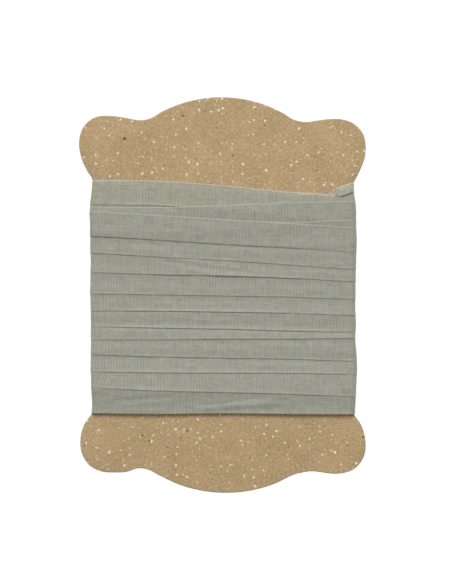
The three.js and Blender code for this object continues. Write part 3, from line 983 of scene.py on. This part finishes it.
UMBER_FLECKS = named_rows(("x", "y", "radius"), [
    (-15.7, 25.0, 0.27), (-6.3, 28.7, 0.16), (-2.8, 29.5, 0.14), (1.7, 22.3, 0.18), (-9.3, 20.8, 0.12),
    (6.7, 27.2, 0.12), (1.4, 18.1, 0.13), (15.0, 19.9, 0.12), (-5.6, -21.7, 0.2), (-4.2, -20.9, 0.12),
    (-6.6, -22.9, 0.12), (-12.8, -22.5, 0.14), (-11.7, -23.3, 0.12), (-8.8, -24.3, 0.11), (22.5, -22.7, 0.16),
    (13.4, -20.6, 0.11), (4.4, -26.1, 0.11), (-7.6, -28.0, 0.1),
])
# Flecks strewn by chance: how many to the metre in each direction, the share of places left without one,
# their size as a share of their spacing, and how strongly they show.
STREWN_CREAM = [
    {"scale": 2300, "without": 0.68, "size": 0.26, "strength": 0.22},
    {"scale": 1150, "without": 0.7, "size": 0.18, "strength": 0.5},
    {"scale": 560, "without": 0.62, "size": 0.12, "strength": 0.95},
]
STREWN_UMBER = [
    {"scale": 1300, "without": 0.66, "size": 0.17, "strength": 0.3},
    {"scale": 500, "without": 0.86, "size": 0.06, "strength": 0.7},
]


def fleck_group():
    """Node group: how much of each point a round fleck covers, from its distance and the fleck's radius."""
    inputs = (("Distance", "NodeSocketFloat"), ("Radius", "NodeSocketFloat"))
    tree, given = new_group("fleck", inputs, (("Cover", "NodeSocketFloat"),))
    share = calc(tree, "DIVIDE", given["Distance"], given["Radius"])
    add_node(tree, "NodeGroupOutput", {"Cover": ramp(tree, share, *FLECK_FADE, 1.0, 0.0)})
    return tree


def fleck_cover(tree, group, distance, radius):
    inputs = {"Distance": distance, "Radius": radius}
    return add_node(tree, "ShaderNodeGroup", inputs, node_tree=group).outputs["Cover"]


def placed_flecks(tree, group, place, flecks):
    """How much of each point each of the listed flecks covers."""
    covers = []
    for fleck in flecks:
        inputs = {0: place, 1: (fleck["x"] * MM, fleck["y"] * MM, 0.0)}
        apart = add_node(tree, "ShaderNodeVectorMath", inputs, operation="DISTANCE").outputs["Value"]
        covers.append(fleck_cover(tree, group, apart, fleck["radius"] * MM))
    return covers


def strewn_flecks(tree, group, place, layers):
    """How much of each point each layer of the flecks strewn by chance covers."""
    covers = []
    for layer in layers:
        inputs = {"Vector": place, "Scale": layer["scale"]}
        cells = add_node(tree, "ShaderNodeTexVoronoi", inputs, voronoi_dimensions="2D")
        chance = add_node(tree, "ShaderNodeSeparateColor", {0: cells.outputs["Color"]})
        there = calc(tree, "GREATER_THAN", chance.outputs[0], layer["without"])
        smallest = SMALLEST_FLECK * layer["size"]
        radius = ramp(tree, chance.outputs[1], 0.0, 1.0, smallest, layer["size"])
        cover = fleck_cover(tree, group, cells.outputs["Distance"], radius)
        covers.append(scaled(tree, calc(tree, "MULTIPLY", cover, there), layer["strength"]))
    return covers


def kraft_face(tree, place, mottle):
    """The colour of the board's faces without flecks: two browns, mottled and clouded."""
    clouds = ramp(tree, noise(tree, place, KRAFT_NOISE["clouds"], 3.0), *MEDIUM, *KRAFT_CLOUDS)
    tone = calc(tree, "MULTIPLY", ramp(tree, mottle, *MEDIUM, *KRAFT_MOTTLE), clouds)
    hue = ramp(tree, noise(tree, place, KRAFT_NOISE["hue"]), *NARROW)
    return toned(tree, mix_colour(tree, hue, KRAFT_WARM, KRAFT_COOL), tone)


def add_flecks(tree, place, colour):
    """The colour with cream and umber flecks over it, their outlines a little ragged."""
    flat = vector(tree, "MULTIPLY", place, (1.0, 1.0, 0.0))
    reach = (OUTLINES_STRAY * MM, OUTLINES_STRAY * MM, 0.0)
    ragged = vector(tree, "ADD", flat, straying(tree, flat, KRAFT_NOISE["ragged"], reach))
    group = fleck_group()
    for placed, strewn, fleck_colour in (
        (CREAM_FLECKS, STREWN_CREAM, CREAM),
        (UMBER_FLECKS, STREWN_UMBER, UMBER),
    ):
        cover = 0.0
        for fleck in placed_flecks(tree, group, ragged, placed) + strewn_flecks(tree, group, ragged, strewn):
            cover = calc(tree, "MAXIMUM", cover, fleck)
        colour = mix_colour(tree, cover, colour, fleck_colour)
    return colour


def cut_share(tree, place):
    """1 on the cut edge and 0 on the board's faces, by how far a point is from the board's middle."""
    height = add_node(tree, "ShaderNodeSeparateXYZ", {0: place}).outputs[2]
    depth = calc(tree, "ABSOLUTE", calc(tree, "SUBTRACT", height, CARD_MIDDLE * MM))
    return ramp(tree, depth, CUT_END[0] * CARD_HALF * MM, CUT_END[1] * CARD_HALF * MM, 1.0, 0.0)


def kraft_material():
    """Recycled board: mottled face with cream and dark flecks, greyer and layered where it is cut."""
    material = new_material("kraft_board")
    tree = material.node_tree
    place = add_node(tree, "ShaderNodeTexCoord").outputs["Object"]
    mottle = noise(tree, place, KRAFT_NOISE["mottle"], 3.0, 0.6)
    colour = add_flecks(tree, place, kraft_face(tree, place, mottle))
    is_cut = cut_share(tree, place)
    layers = noise(tree, vector(tree, "MULTIPLY", place, CUT_LAYERS), 1.0, 3.0, 0.6)
    cut_colour = toned(tree, KRAFT_CUT, ramp(tree, layers, *MEDIUM, *CUT_TONES))
    colour = mix_colour(tree, is_cut, colour, cut_colour)

    relief = calc(tree, "ADD", mottle, calc(tree, "MULTIPLY", layers, is_cut))
    bump_inputs = {"Height": relief, "Distance": KRAFT_DEPTH * MM, "Strength": KRAFT_BUMP}
    bump = add_node(tree, "ShaderNodeBump", bump_inputs)
    rough = ramp(tree, mottle, *MEDIUM, *KRAFT_ROUGHNESS)
    surface = {"Base Color": colour, "Roughness": rough, "Normal": bump.outputs[0]}
    finish_material(tree, surface, {"Specular IOR Level": 0.2})
    return material


# Card. The corners of its waist lie under the ribbon: how far they are drawn in along the card.
WAIST_DRAWN_IN = {"top": -0.8, "bottom": 0.7}
WAIST_END = 19.2
WAIST_WITHIN = 20.5
RIM = {"width": 0.17, "segments": 3, "angle": 40}
JOINED_WITHIN = 0.001
FLAT_WITHIN = 1
SMOOTH_WITHIN = 30


def make_card():
    """A copy of the card with its faces joined, its rims rounded and its hidden waist under the ribbon."""
    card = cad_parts["card"]
    bpy.ops.object.select_all(action="DESELECT")
    bpy.context.view_layer.objects.active = card
    card.select_set(True)
    bpy.ops.object.duplicate()
    piece = bpy.context.object
    piece.name = "winding_card"
    for key in list(piece.keys()):
        if key.startswith("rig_"):
            del piece[key]
    piece.parent = None
    bpy.ops.object.mode_set(mode="EDIT")
    bpy.ops.mesh.select_all(action="SELECT")
    bpy.ops.mesh.remove_doubles(threshold=JOINED_WITHIN * MM)
    bpy.ops.mesh.dissolve_limited(angle_limit=math.radians(FLAT_WITHIN))
    bpy.ops.object.mode_set(mode="OBJECT")
    for vertex in piece.data.vertices:
        if abs(vertex.co.y) < WAIST_END * MM and abs(vertex.co.x) < WAIST_WITHIN * MM:
            vertex.co.x = (WAIST_LEFT if vertex.co.x < 0 else WAIST_RIGHT) * MM
            vertex.co.y += WAIST_DRAWN_IN["top" if vertex.co.y > 0 else "bottom"] * MM
    rim = piece.modifiers.new("rim", "BEVEL")
    rim.width = RIM["width"] * MM
    rim.segments = RIM["segments"]
    rim.limit_method = "ANGLE"
    rim.angle_limit = math.radians(RIM["angle"])
    bpy.ops.object.modifier_apply(modifier="rim")
    bpy.ops.object.shade_smooth_by_angle(angle=math.radians(SMOOTH_WITHIN))
    piece.data.materials.clear()
    piece.data.materials.append(kraft_material())
    return piece


def make_ribbon():
    """The ribbon in four pieces: hidden turns, outer ones up to the fold and past it, and the fold."""
    hidden = [turn for turn_pass in HIDDEN_PASSES for turn in hidden_turns(turn_pass)]
    wound = wind([{**PLAIN_TURN, **turn} for turn in hidden + OUTER_TURNS])
    outer_start = len(hidden) * COLUMN_COUNT
    steep_start = (len(hidden) + STEEP_NUMBER) * COLUMN_COUNT
    loose_end = (len(wound["turns"]) - 1) * COLUMN_COUNT + back_column(LOOSE_END)
    return [
        turn_piece("ribbon_inner_turns", wound, 0, outer_start, 3, TOP_SHARES[::3], UNDER_SHARES[::2]),
        turn_piece("ribbon_lower_turns", wound, outer_start, steep_start + FOLD_COLUMNS[0]),
        turn_piece("ribbon_upper_turns", wound, steep_start + FOLD_COLUMNS[1], loose_end),
        make_fold(wound),
    ]


make_camera()
make_key_light()
make_fill_light()
make_floor()

card_piece = make_card()
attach(card_piece, "root")
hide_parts("card")

silk = silk_material()
for piece in make_ribbon():
    piece.data.materials.append(silk)
    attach(piece, "root")
    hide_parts("ribbon")

bpy.context.scene.view_settings.view_transform = "Standard"
